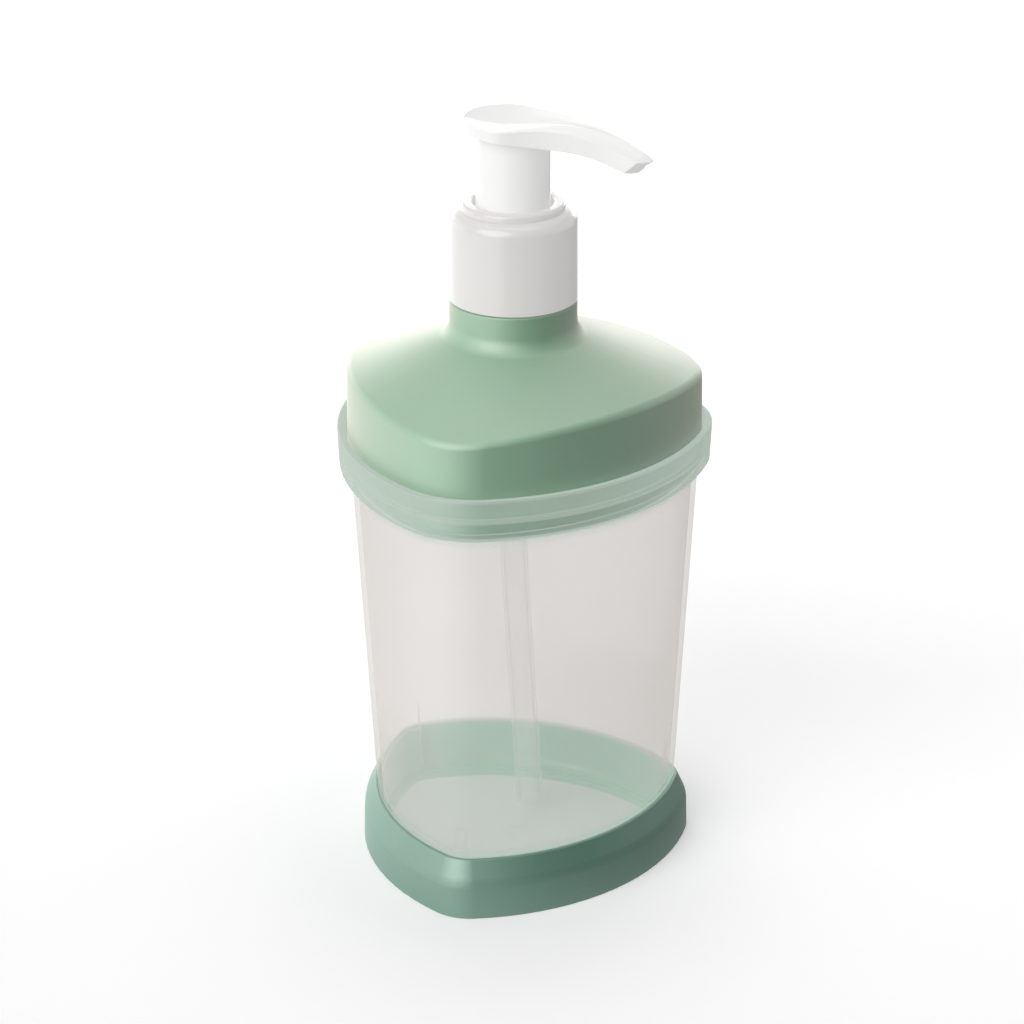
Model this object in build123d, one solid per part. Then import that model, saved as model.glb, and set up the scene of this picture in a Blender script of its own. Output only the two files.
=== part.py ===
from build123d import *
import os
from math import cos, sin, sqrt, radians, asin, tan

# Soap pump bottle: a three-cornered translucent bottle in a green foot ring, with a green press-on lid
# that carries a lotion pump. All sizes are in millimetres. One corner of the bottle points to -Y, and the
# spout points to +X. The shapes are drawn about the pump's axis. They are stored with the origin under the
# middle of the bottle's bounding box, on the surface it stands on.

# Clearances
running_gap = 0.3        # between round surfaces that move past each other
seal_gap = 0.06          # sliding fit of the piston in its barrel
seat_gap = 0.1           # between flat faces that turn on each other
lid_gap = 0.8            # between the lid's side and the inside of the rim
cut_over = 2.0           # how far a cutting shape runs past what it cuts

# Bottle plan at the rim and at the foot
rim_side_reach = 43.9    # from the middle of the plan to the middle of a side
rim_corner_extra = 6.6   # how much further a corner reaches
rim_corner_radius = 22.8
foot_side_reach = 39.1
foot_corner_extra = 7.2
foot_corner_radius = 12.5
corner_angles = (-90, 30, 150)

# Heights of the bottle
foot_height = 15.4       # top lip of the foot ring
foot_break_height = 9.6  # where the ring's wall turns in towards the bottle
floor_underside = 1.8    # underside of the bottle's floor
shoulder_height = 104.3  # where the bottle's wall meets the rim's underside
rim_height = 11.6        # of the rim's top above the shoulder

# Bottle body
wall_inset_foot = 3.7    # bottle wall inside the foot ring's outline, at the ring's lip
wall_inset_rim = 3.4     # bottle wall inside the rim's outline, at the shoulder
wall_thickness = 1.3
floor_thickness = 1.6
floor_corner_round = 2.5
rim_thickness = 1.7
rim_draft = 0.5          # how much wider the rim is at its top than at its foot
rim_underside_rise = 0.7
rim_underside_round = 1.9
rim_snap_rise = 3.9      # of the snap bead above the seat
rim_snap_proud = 0.2
rim_snap_half_width = 0.5
rib_width = 3.0
rib_depth = 2.2
rib_height = 19.5
rib_taper = 1.2
gate_radius = 2.2
gate_depth = 0.4

# Foot ring
ring_wall = 1.3
ring_flare = 0.25        # how much wider the ring is at the floor than at its break
ring_break_round = 4.0
ring_foot_round = 0.4
ring_lip = 0.8
ring_collar = 1.1        # inner wall of the ring, round the bottle
ring_groove_top = 8.4    # of the groove under the ring, between its two walls
ring_ledge_width = 2.4
ring_press_gap = 0.04

# Lid
lid_wall = 1.5
lid_inset_crease = 2.8   # lid side inside the rim's outline, at the crease
crease_rise = 15.7       # of the crease above the rim, at the middle of a side
lid_cone_slope = 0.392   # fall of the lid's top for each millimetre outwards
crease_round = 2.0
skirt_drop = 3.0         # of the plug skirt below the seat
skirt_wall = 1.3
neck_radius = 15.85
neck_rise = 18.4         # of the neck's flat shoulder above the crease
neck_root_round = 3.6
neck_bore_radius = 11.2
finish_radius = 12.6     # outside of the screwed mouth, without its thread
finish_height = 18.3

# Closure that screws on the lid's mouth
closure_radius = 16.0
closure_gap = 0.3        # between the closure's edge and the lid's shoulder
closure_height = 22.8
closure_draft = 0.15
closure_round = 3.0
closure_bore_radius = 14.1
closure_top_thickness = 1.6
closure_hole_radius = 11.4
closure_edge_round = 0.35

# Lock ring: the collar the pump head slides in
bead_radius = 13.0
bead_height = 1.8
bead_round = 0.85
bead_mouth_radius = 10.15
well_radius = 9.5        # inside of the well for the head's skirt
well_wall = 0.7
well_floor_gap = 0.5     # left under the skirt when the head is pressed right down
well_floor_thickness = 1.2
guide_wall = 1.1
guide_length = 5.0

# Pump housing: flange, cup, barrel, ball seat and tube socket
gasket_thickness = 1.2
flange_radius = 13.6
flange_thickness = 1.7
cup_wall = 0.7
cup_floor_thickness = 1.3
barrel_bore_radius = 5.8
barrel_wall = 0.9
seat_bore_radius = 1.7
inlet_ball_radius = 2.5
cage_bore_radius = 2.9
cage_rise = 6.4
cage_lip_radius = 2.2    # keeps the ball in its cage
cage_lip = 0.8
socket_depth = 9.5
socket_wall = 1.1
tube_radius = 3.5
tube_bore_radius = 2.6
tube_lean = 13.0         # how far the dip tube's end lies towards +Y
tube_floor_gap = 1.0
tube_straight = 8.0      # below the socket
tube_bend_radius = 120.0

# Plunger: head, stem, piston and spring
pump_stroke = 13.0
stem_radius = 3.9
stem_bore_radius = 2.4
stem_top_rise = 0.4      # of the stem's top above the ceiling inside the head's skirt
stem_foot_gap = 0.7      # between the guide in the housing and the plunger at rest
ball_seat_drop = 2.9
outlet_ball_radius = 2.0
outlet_pocket_radius = 2.6
outlet_port_radius = 1.6  # above the stem, small enough to keep the ball in its pocket
piston_length = 7.0
piston_waist = 0.7
piston_lip = 1.3
plug_shank_radius = 1.8
plug_press_length = 9.0
plug_head_height = 3.2
plug_slot = 0.9
spring_wire = 0.9
spring_radius = 4.2      # to the middle of the wire
spring_turns = 7
spring_length = 22.2     # of the space for the spring when the pump is at rest

# Pump head
skirt_radius = 9.2
head_skirt_wall = 1.0
skirt_engagement = 2.9   # of the skirt inside the lock ring at rest
socket_tube_wall = 1.3
socket_tube_length = 11.0
pad_radius = 12.4
pad_rise = 20.75         # of the crest line above the lock ring, level with the axis
pad_edge_drop = 2.35     # lower edge of the pad's side at the back, below the crest line
pad_side_angle = 80      # degrees from the spout at which the plan's sides leave the pad's circle
spout_reach = 35.7       # from the axis to the point of the beak
beak_length = 2.9        # of the rounded point beyond the sides
beak_rake = 48.0         # degrees that the mouth leans back under the beak
channel_radius = 1.15
channel_wall = 0.9
channel_drop = 3.25      # of the channel's middle below the crest line level with the axis
channel_start = 12.0
channel_bend_radius = 48.0
dish_half_width = 13.4   # where the thumb dish would reach the crest line, level with the axis
dish_depth = 1.3
dish_shift = 3.0         # of the dish's lowest point towards the spout
crest_land = 0.4

# Shapes of the head along the spout's reach: stations from the back of the pad to the point
spout_fall = 7.0
flank_drop = 1.85
flank_hollow = 0.5       # how far the flank sags below the straight line from crest to shoulder
station_shares = (-0.36, -0.17, 0.0, 0.17, 0.33, 0.5, 0.67, 0.83, 1.0)
top_fall_shares = (-0.11, -0.065, 0.0, -0.05, -0.1, -0.04, 0.18, 0.52, 0.99)    # of spout_fall
edge_fall_shares = (0.0, 0.01, 0.12, 0.286, 0.386, 0.486, 0.743, 1.08, 1.47)    # of spout_fall
# and from the axis to the point
side_width_shares = (1.0, 0.77, 0.58, 0.473, 0.387, 0.355, 0.355)    # of pad_radius
valley_width_shares = (1.0, 0.58, 0.355, 0.165, 0.06, 0.03, 0.025)   # of dish_half_width
valley_depth_shares = (1.0, 1.15, 1.0, 0.6, 0.23, 0.09, 0.06)        # of dish_depth
flank_drop_shares = (0.01, 0.27, 0.51, 0.84, 0.99, 1.0, 0.8)         # of flank_drop and flank_hollow

# Derived places
rim_corner_reach = rim_side_reach + rim_corner_extra
foot_corner_reach = foot_side_reach + foot_corner_extra
rim_top = shoulder_height + rim_height
crease_height = rim_top + crease_rise
neck_shoulder_height = crease_height + neck_rise
axis_offset = (rim_corner_reach - rim_side_reach) / 2
lid_inset_rim = rim_thickness + lid_gap
spout_stations = station_shares[2:]
wall_height = shoulder_height - foot_height
floor_top = floor_underside + floor_thickness
seat_height = shoulder_height + wall_thickness + rim_underside_rise
lid_foot = seat_height + seat_gap
closure_foot = neck_shoulder_height + closure_gap
closure_top = closure_foot + closure_height
mouth_top = neck_shoulder_height + finish_height
flange_foot = mouth_top + gasket_thickness
flange_top = flange_foot + flange_thickness
bead_foot = closure_top + seat_gap
bead_top = bead_foot + bead_height
skirt_foot = bead_top - skirt_engagement
well_floor_height = skirt_foot - pump_stroke - well_floor_gap
cup_radius = well_radius + well_wall + cup_wall
cup_floor = well_floor_height - well_floor_thickness
cup_low = cup_floor - cup_floor_thickness
guide_foot = cup_low - guide_length
pad_height = bead_top + pad_rise
channel_height = pad_height - channel_drop
head_ceiling = channel_height - channel_radius - channel_wall
stem_top = head_ceiling + stem_top_rise
stem_foot_height = guide_foot - stem_foot_gap
piston_top = stem_foot_height
piston_foot = piston_top - piston_length
plug_foot = piston_foot - plug_head_height
barrel_foot_height = plug_foot - spring_length
barrel_radius = barrel_bore_radius + barrel_wall
socket_top = barrel_foot_height - cage_rise - inlet_ball_radius - barrel_wall
socket_foot = socket_top - socket_depth
guide_bore_radius = stem_radius + running_gap
spring_foot = barrel_foot_height
spring_top = plug_foot
crease_radius = rim_side_reach - lid_inset_crease
tube_end = floor_top + tube_floor_gap


def polar(distance, angle):
    return Vector(distance * cos(radians(angle)), distance * sin(radians(angle)))


def side_arc_radius(corner_reach, side_reach, corner_radius):
    """Radius of the long side arcs that meet the corner arcs without a kink."""
    centre = corner_reach - corner_radius
    top = side_reach**2 + centre**2 - side_reach * centre - corner_radius**2
    return top / (2 * side_reach - centre - 2 * corner_radius)


def outline(plan, height, grow=0):
    """Closed outline of three corner arcs and three side arcs, grown outwards by one distance."""
    corner_reach, side_reach, corner_radius = (size + grow for size in plan)
    side_radius = side_arc_radius(corner_reach, side_reach, corner_radius)
    edges = []
    for angle in corner_angles:
        corner = polar(corner_reach - corner_radius, angle)
        next_corner = polar(corner_reach - corner_radius, angle + 120)
        before = polar(side_radius - side_reach, angle + 120)
        after = polar(side_radius - side_reach, angle - 120)
        start = corner + (corner - before).normalized() * corner_radius
        end = corner + (corner - after).normalized() * corner_radius
        following = next_corner + (next_corner - after).normalized() * corner_radius
        edges.append(ThreePointArc(start, polar(corner_reach, angle), end))
        edges.append(ThreePointArc(end, polar(side_reach, angle + 60), following))
    return Wire(edges).moved(Location((0, 0, height)))


rim_plan = (rim_corner_reach, rim_side_reach, rim_corner_radius)
foot_plan = (foot_corner_reach, foot_side_reach, foot_corner_radius)
foot_wall_plan = tuple(size - wall_inset_foot for size in foot_plan)
rim_wall_plan = tuple(size - wall_inset_rim for size in rim_plan)


def wall_plan(height):
    """Plan of the bottle's outer wall at a height, drafted from the foot to the shoulder."""
    share = (height - foot_height) / wall_height
    return tuple(low + (high - low) * share for low, high in zip(foot_wall_plan, rim_wall_plan))


def stack(*levels):
    """Solid through outlines, each given as (plan, height, grow)."""
    return Solid.make_loft([outline(*level) for level in levels], ruled=True)


def turned(*points):
    """Solid of revolution about the pump's axis from an outline of (radius, height) points."""
    profile = Polyline(*[(radius, 0, height) for radius, height in points], close=True)
    return revolve(make_face(profile), Axis.Z)


def tube(outer, inner, low, high):
    return turned((inner, low), (outer, low), (outer, high), (inner, high))


def disc(radius, low, high):
    return Pos(0, 0, (low + high) / 2) * Cylinder(radius, high - low)


def edges_near(solid, low, high):
    """Edges that lie wholly between two heights."""
    found = []
    for edge in solid.edges():
        box = edge.bounding_box()
        if box.min.Z > low and box.max.Z < high:
            found.append(edge)
    return ShapeList(found)


# Bottle

def rim_shell():
    """Outer form of the rim, with its rounded underside."""
    underside = shoulder_height + rim_underside_rise
    rim = stack((wall_plan(shoulder_height), shoulder_height, 0),
                (rim_plan, underside, -rim_draft),
                (rim_plan, rim_top, 0))
    margin = rim_underside_rise / 2
    return fillet(edges_near(rim, underside - margin, underside + margin), rim_underside_round)


def snap_bead():
    """Low ridge round the inside of the rim."""
    middle = seat_height + rim_snap_rise
    inside = -rim_thickness - rim_draft * (rim_top - middle) / (rim_top - seat_height)
    back = inside + rim_thickness / 2
    low = middle - rim_snap_half_width
    high = middle + rim_snap_half_width
    outer = stack((rim_plan, low, back), (rim_plan, high, back))
    inner = stack((rim_plan, low, inside + rim_snap_proud), (rim_plan, middle, inside - rim_snap_proud),
                  (rim_plan, high, inside + rim_snap_proud))
    return outer - inner


def corner_rib(angle):
    """Upright rib inside one corner, with a tapered top."""
    low = wall_plan(floor_top)
    high = wall_plan(floor_top + rib_height)
    foot_reach = low[0] - wall_thickness - rib_depth
    top_reach = high[0] - wall_thickness - rib_depth + rib_taper
    back = high[0] - wall_thickness / 2
    foot_back = low[0] - wall_thickness / 2
    points = ((foot_reach, 0, floor_top - floor_thickness / 2),
              (foot_back, 0, floor_top - floor_thickness / 2),
              (back, 0, floor_top + rib_height),
              (top_reach, 0, floor_top + rib_height),
              (foot_reach, 0, floor_top + rib_height - 2 * rib_taper))
    plate = extrude(make_face(Polyline(*points, close=True)), rib_width / 2, both=True)
    return Rot(0, 0, angle) * plate


def make_bottle_body():
    outer = stack((wall_plan(floor_underside), floor_underside, 0),
                  (wall_plan(shoulder_height), shoulder_height, 0)) + rim_shell()
    top = shoulder_height + wall_thickness
    inner = stack((wall_plan(floor_top), floor_top, -wall_thickness),
                  (wall_plan(top), top, -wall_thickness))
    inner = fillet(edges_near(inner, floor_top - seat_gap, floor_top + seat_gap), floor_corner_round)
    throat = stack((wall_plan(top), top - seat_gap, -wall_thickness),
                   (wall_plan(top), rim_top + cut_over, -wall_thickness))
    pocket = stack((rim_plan, seat_height, -rim_draft - rim_thickness),
                   (rim_plan, rim_top, -rim_thickness),
                   (rim_plan, rim_top + cut_over, -rim_thickness))
    body = outer - inner - throat - pocket + snap_bead()
    for angle in corner_angles:
        body += corner_rib(angle)
    return body - disc(gate_radius, floor_top - gate_depth, floor_top + cut_over)


# Foot ring

def make_foot_ring():
    """Ring with an outer wall, a sloped top, and a collar that grips the bottle's foot."""
    outer = stack((foot_plan, 0, 0),
                  (foot_plan, foot_break_height, -ring_flare),
                  (foot_wall_plan, foot_height, ring_lip))
    margin = ring_foot_round
    break_edges = edges_near(outer, foot_break_height - margin, foot_break_height + margin)
    outer = fillet(break_edges, ring_break_round)
    above = foot_height + cut_over
    bore = stack((wall_plan(floor_underside), floor_underside, ring_press_gap),
                 (wall_plan(above), above, ring_press_gap))
    opening = stack((wall_plan(0), -cut_over, -ring_ledge_width),
                    (wall_plan(0), floor_underside + cut_over, -ring_ledge_width))
    groove = stack((foot_plan, -cut_over, -ring_wall),
                   (foot_plan, ring_groove_top, -ring_wall - ring_flare))
    collar = stack((wall_plan(0), -cut_over, ring_collar),
                   (wall_plan(foot_height), foot_height, ring_collar))
    return outer - (groove - collar) - bore - opening


# Lid

def cone_top(height_at_crease, outward):
    """Flat-sided cone that shapes the lid's top, as a solid below it."""
    reach = rim_corner_reach + cut_over
    low = height_at_crease - lid_cone_slope * (reach - crease_radius)
    peak = height_at_crease + lid_cone_slope * (crease_radius - outward)
    return turned((0, lid_foot - skirt_drop - cut_over), (reach, lid_foot - skirt_drop - cut_over),
                  (reach, low), (outward, peak), (0, peak))


def lid_sides(grow, low, high):
    """Upright sides of the lid, drafted from the rim to the crease."""
    draft = (lid_inset_crease - lid_inset_rim) / (crease_height - rim_top)
    low_grow = -lid_inset_rim + draft * (rim_top - low) + grow
    high_grow = -lid_inset_rim + draft * (rim_top - high) + grow
    return stack((rim_plan, low, low_grow), (rim_plan, high, high_grow))


def make_lid():
    peak = crease_height + lid_cone_slope * crease_radius
    shell = lid_sides(0, lid_foot, peak) & cone_top(crease_height, neck_radius / 2)
    crease_low = crease_height - lid_cone_slope * (rim_corner_reach - rim_side_reach) - crease_round
    rims = edges_near(shell, crease_low, crease_height + crease_round)
    shell = fillet(rims, crease_round)
    neck = disc(neck_radius, crease_height, neck_shoulder_height)
    shell = shell + neck
    root = crease_height + lid_cone_slope * (crease_radius - neck_radius)
    shell = fillet(edges_near(shell, root - lid_wall, root + lid_wall), neck_root_round)
    hollow_crease = crease_height - lid_wall * sqrt(1 + lid_cone_slope**2)
    hollow = lid_sides(-lid_wall, lid_foot - cut_over, peak) & cone_top(hollow_crease, neck_radius / 2)
    neck_ceiling = neck_shoulder_height - lid_wall
    throat = disc(neck_radius - lid_wall, crease_height, neck_ceiling)
    mouth = disc(finish_radius, neck_shoulder_height - lid_wall, mouth_top)
    bore = disc(neck_bore_radius, crease_height, mouth_top + cut_over)
    plug_grow = -wall_thickness - running_gap
    plug_plan = wall_plan(shoulder_height)
    web_top = lid_foot + lid_wall
    plug = stack((plug_plan, lid_foot - skirt_drop, plug_grow),
                 (plug_plan, web_top, plug_grow))
    plug_hollow = stack((plug_plan, lid_foot - skirt_drop - cut_over, plug_grow - skirt_wall),
                        (plug_plan, web_top + cut_over, plug_grow - skirt_wall))
    web = lid_sides(-lid_wall / 2, lid_foot, web_top)
    return (shell - hollow - throat + mouth + web + plug) - plug_hollow - bore


# Closure and the parts of the pump that stay still

def make_closure():
    top_radius = closure_radius - closure_draft
    cap = turned((0, closure_foot), (closure_radius, closure_foot),
                 (top_radius, closure_top), (0, closure_top))
    cap = fillet(edges_near(cap, closure_top - seat_gap, closure_top + seat_gap), closure_round)
    cap = fillet(edges_near(cap, closure_foot - seat_gap, closure_foot + seat_gap), closure_edge_round)
    ceiling = closure_top - closure_top_thickness
    inside = disc(closure_bore_radius, closure_foot - cut_over, ceiling)
    return cap - inside - disc(closure_hole_radius, ceiling - cut_over, closure_top + cut_over)


def make_lock_ring():
    """Bead on the closure, a well for the head's skirt, and a guide for the stem."""
    well_outer = well_radius + well_wall
    guide_radius = guide_bore_radius + guide_wall
    guide_low = guide_foot + cup_floor_thickness + cup_floor_thickness
    lead = bead_mouth_radius - well_radius
    ring = turned((well_radius, well_floor_height), (guide_bore_radius, well_floor_height),
                  (guide_bore_radius, guide_low), (guide_radius, guide_low),
                  (guide_radius, cup_floor), (well_outer, cup_floor),
                  (well_outer, bead_foot), (bead_radius, bead_foot), (bead_radius, bead_top),
                  (bead_mouth_radius, bead_top), (bead_mouth_radius, bead_foot),
                  (well_radius, bead_foot - lead))
    outer_top = [e for e in edges_near(ring, bead_top - seat_gap, bead_top + seat_gap)]
    return fillet(outer_top, bead_round)


def make_gasket():
    return tube(flange_radius - running_gap, cup_radius + running_gap, mouth_top, flange_foot)


def make_housing():
    """Flange on the mouth, cup round the lock ring's well, barrel, ball seat and tube socket."""
    cup_inner = well_radius + well_wall
    guide_hole = guide_bore_radius + guide_wall
    seat_height_inside = barrel_foot_height - cage_rise
    socket_radius = tube_radius + socket_wall
    cone_drop = inlet_ball_radius - seat_bore_radius
    return turned((cup_inner, flange_top), (cup_inner, cup_floor), (guide_hole, cup_floor),
                  (guide_hole, guide_foot + cup_floor_thickness),
                  (barrel_bore_radius, guide_foot),
                  (barrel_bore_radius, barrel_foot_height),
                  (cage_lip_radius, barrel_foot_height),
                  (cage_lip_radius, barrel_foot_height - cage_lip),
                  (cage_bore_radius, barrel_foot_height - cage_lip),
                  (cage_bore_radius, seat_height_inside),
                  (seat_bore_radius, seat_height_inside - cone_drop - seal_gap),
                  (seat_bore_radius, socket_top),
                  (tube_radius, socket_top), (tube_radius, socket_foot),
                  (socket_radius, socket_foot), (socket_radius, barrel_foot_height - barrel_wall),
                  (barrel_radius, barrel_foot_height), (barrel_radius, guide_foot),
                  (barrel_radius, cup_low), (cup_radius, cup_low), (cup_radius, flange_foot),
                  (flange_radius, flange_foot), (flange_radius, flange_top))


def ball_on_seat(radius, bore, seat_edge):
    """Height of a ball's middle when it rests on the edge of a bore."""
    return seat_edge + sqrt(radius**2 - bore**2)


def make_inlet_ball():
    cone_drop = inlet_ball_radius - seat_bore_radius
    edge = barrel_foot_height - cage_rise - cone_drop - seal_gap
    height = ball_on_seat(inlet_ball_radius, seat_bore_radius, edge)
    return Pos(0, 0, height + 2 * seal_gap) * Sphere(inlet_ball_radius)


def make_dip_tube():
    """Tube pressed in the socket, bent a little so that its end lies behind the axis."""
    top = socket_top
    bend = socket_foot - tube_straight
    angle = 0.0
    for _ in range(20):
        run = (tube_lean - tube_bend_radius * (1 - cos(angle))) / (bend - tube_end)
        angle = asin(min(run, 1) * cos(angle))
    arc_end = (0, tube_bend_radius * (1 - cos(angle)), bend - tube_bend_radius * sin(angle))
    half = angle / 2
    arc_middle = (0, tube_bend_radius * (1 - cos(half)), bend - tube_bend_radius * sin(half))
    route = [Line((0, 0, top), (0, 0, bend)),
             ThreePointArc((0, 0, bend), arc_middle, arc_end),
             Line(arc_end, (0, tube_lean, tube_end))]
    start = Plane(origin=(0, 0, top), z_dir=(0, 0, -1))
    ring = start * (Circle(tube_radius) - Circle(tube_bore_radius))
    return sweep(ring, path=Wire(route))


# Plunger

def make_stem():
    """Hollow stem with a seat and a pocket for the outlet ball near its top."""
    seat = stem_top - ball_seat_drop
    cone = outlet_pocket_radius - stem_bore_radius / 2
    bore = stem_bore_radius
    return turned((bore, stem_foot_height), (stem_radius, stem_foot_height), (stem_radius, stem_top),
                  (outlet_pocket_radius, stem_top), (outlet_pocket_radius, seat),
                  (stem_bore_radius / 2, seat - cone), (stem_bore_radius / 2, seat - 2 * cone),
                  (bore, seat - 3 * cone))


def make_outlet_ball():
    seat = stem_top - ball_seat_drop
    cone = outlet_pocket_radius - stem_bore_radius / 2
    # A ball in a cone of 45 degrees rests with its middle root two times its radius above the cone's point
    point = seat - cone - stem_bore_radius / 2
    height = point + outlet_ball_radius * sqrt(2)
    return Pos(0, 0, height + seal_gap) * Sphere(outlet_ball_radius)


def make_stem_plug():
    """Rod pressed in the stem's foot, slotted for the liquid, with a valve head under the piston."""
    head = stem_radius
    shank_top = stem_foot_height + plug_press_length
    top = piston_foot - seat_gap
    rod = turned((0, plug_foot), (head, plug_foot), (head, top - plug_shank_radius),
                 (plug_shank_radius, top), (plug_shank_radius, shank_top), (0, shank_top))
    slot_height = shank_top - top
    slot = Pos(0, 0, top + slot_height / 2) * Box(2 * plug_shank_radius, plug_slot, slot_height)
    spigot = tube(stem_bore_radius, 0, stem_foot_height + piston_lip, shank_top) - slot
    return rod - slot + spigot


def make_piston():
    """Double-lipped seal that slides in the barrel and a little way on the plug's shank."""
    outer = barrel_bore_radius - seal_gap
    waist = outer - piston_waist
    inner = plug_shank_radius + running_gap
    top = piston_top - seat_gap
    middle = (top + piston_foot) / 2
    return turned((inner, piston_foot), (outer - piston_waist, piston_foot), (outer, piston_foot),
                  (outer, piston_foot + piston_lip), (waist, piston_foot + 2 * piston_lip), (waist, middle),
                  (waist, top - 2 * piston_lip), (outer, top - piston_lip), (outer, top),
                  (inner, top))


def make_spring():
    """Compression spring between the barrel's foot and the plug's head."""
    low = spring_foot + spring_wire / 2 + seat_gap
    high = spring_top - spring_wire / 2 - seat_gap
    pitch = (high - low) / spring_turns
    helix = Helix(pitch=pitch, height=high - low, radius=spring_radius)
    path = helix.moved(Location((0, 0, low)))
    section = Plane(origin=path @ 0, z_dir=path % 0) * Circle(spring_wire / 2)
    return sweep(section, path=path, is_frenet=True)


# Pump head

def top_line(index):
    """Height of the crest line at a station counted from the back of the pad."""
    return pad_height - top_fall_shares[index] * spout_fall


def spout_plan():
    """Plan of the head: a round pad that narrows to a rounded beak."""
    start = polar(pad_radius, pad_side_angle)
    tip = spout_reach - beak_length
    points = [start]
    for share, width in list(zip(spout_stations, side_width_shares))[1:-1]:
        points.append((share * spout_reach, width * pad_radius, 0))
    tip_half_width = side_width_shares[-1] * pad_radius
    points.append((tip, tip_half_width, 0))
    side = Spline(points, tangents=[polar(1, pad_side_angle - 90), (1, 0, 0)])
    back = ThreePointArc(start, (-pad_radius, 0, 0), polar(pad_radius, -pad_side_angle))
    beak = ThreePointArc((tip, tip_half_width, 0), (spout_reach, 0, 0), (tip, -tip_half_width, 0))
    return make_face([side, back, side.mirror(Plane.XZ), beak])


def side_profile():
    """Side view of the head: crest line above, lower edge of the walls below."""
    edge_height = pad_height - pad_edge_drop
    top = []
    low = []
    for share, top_fall, edge_fall in zip(station_shares, top_fall_shares, edge_fall_shares):
        top.append((share * spout_reach, 0, pad_height - top_fall * spout_fall))
        low.append((share * spout_reach, 0, edge_height - edge_fall * spout_fall))
    edges = [Spline(top), Spline(low), Line(top[0], low[0]), Line(top[-1], low[-1])]
    return extrude(make_face(edges), pad_radius + cut_over, both=True)


def beak_cutter():
    """Space past the rounded beak, leaning back under it along the rake of the mouth."""
    tip = spout_reach - beak_length
    half_width = side_width_shares[-1] * pad_radius
    reach = spout_reach + pad_radius
    beak = ThreePointArc((tip, half_width, 0), (spout_reach, 0, 0), (tip, -half_width, 0))
    frame = Polyline((tip, -half_width, 0), (tip, -reach, 0), (reach, -reach, 0),
                     (reach, reach, 0), (tip, reach, 0), (tip, half_width, 0))
    slope = tan(radians(beak_rake))
    drop = spout_fall + cut_over
    low = Pos(-slope * drop, 0, top_line(-1) - drop) * make_face([beak, frame])
    return extrude(low, sqrt(1 + slope**2) * (drop + cut_over), dir=(slope, 0, 1))


def channel():
    """Bore from the stem: level, then bent down to the mouth."""
    reach = spout_reach + cut_over - channel_start
    angle = asin(reach / channel_bend_radius)
    end = (channel_start + reach, 0, channel_height - channel_bend_radius * (1 - cos(angle)))
    middle = (channel_start + channel_bend_radius * sin(angle / 2), 0,
              channel_height - channel_bend_radius * (1 - cos(angle / 2)))
    bend = (channel_start, 0, channel_height)
    path = Wire([Line((0, 0, channel_height), bend), ThreePointArc(bend, middle, end)])
    start = Plane(origin=path @ 0, z_dir=(1, 0, 0))
    return sweep(start * Circle(channel_radius), path=path)


def section_wire(reach, points, sag):
    """Cutter section across the spout: a sagging arc between the first two points, then straight lines."""
    (y0, z0), (y1, z1) = points[0], points[1]
    middle = (reach, (y0 + y1) / 2, (z0 + z1) / 2 - sag)
    edges = [ThreePointArc((reach, y0, z0), middle, (reach, y1, z1))]
    rest = [(reach, y, z) for y, z in points[1:]] + [(reach, y0, z0)]
    edges += [Line(a, b) for a, b in zip(rest[:-1], rest[1:])]
    return Wire(edges)


def valley_cutter():
    """Valley that narrows between the two crests, from the axis to the point."""
    over = pad_height + 2 * cut_over
    wires = []
    for i, share in enumerate(spout_stations):
        half = valley_width_shares[i] * dish_half_width
        top = top_line(i + 2)
        points = ((-half, top), (half, top), (half, over), (-half, over))
        wires.append(section_wire(share * spout_reach, points, valley_depth_shares[i] * dish_depth))
    return Solid.make_loft(wires)


def dish_cutter():
    """Ball that hollows the back of the thumb pad and meets the valley level with the axis."""
    section_radius = (dish_half_width**2 + dish_depth**2) / (2 * dish_depth)
    ball_radius = sqrt(section_radius**2 + dish_shift**2)
    ball = Pos(dish_shift, 0, pad_height - dish_depth + section_radius) * Sphere(ball_radius)
    back = Pos(-pad_radius, 0, pad_height) * Box(2 * pad_radius, 4 * pad_radius, 4 * cut_over)
    return ball & back


def flank_cutter():
    """Hollow flank between one crest and the shoulder of the side wall."""
    over = pad_height + 2 * cut_over
    wide = pad_radius + cut_over
    wires = []
    for i, share in enumerate(spout_stations):
        crest = valley_width_shares[i] * dish_half_width + crest_land
        side = side_width_shares[i] * pad_radius
        top = top_line(i + 2)
        fall = flank_drop_shares[i] * flank_drop / (side - crest) * (wide - crest)
        points = ((crest, top), (wide, top - fall), (wide, over), (crest, over))
        wires.append(section_wire(share * spout_reach, points, flank_drop_shares[i] * flank_hollow))
    return Solid.make_loft(wires)


def make_pump_head():
    plan = Pos(0, 0, skirt_foot) * extrude(spout_plan(), pad_height + cut_over - skirt_foot)
    head = (plan & side_profile()) + disc(skirt_radius, skirt_foot, channel_height)
    flank = flank_cutter()
    head = head - beak_cutter() - valley_cutter() - dish_cutter() - flank - flank.mirror(Plane.XZ)
    sleeve_radius = stem_radius + socket_tube_wall
    sleeve_foot = stem_top - socket_tube_length
    hollow = disc(skirt_radius - head_skirt_wall, skirt_foot - cut_over, head_ceiling)
    hollow -= disc(sleeve_radius, sleeve_foot, head_ceiling)
    socket = disc(stem_radius, sleeve_foot - cut_over, stem_top)
    port = disc(outlet_port_radius, stem_top - seat_gap, channel_height + channel_radius)
    return head - hollow - socket - port - channel()


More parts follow.
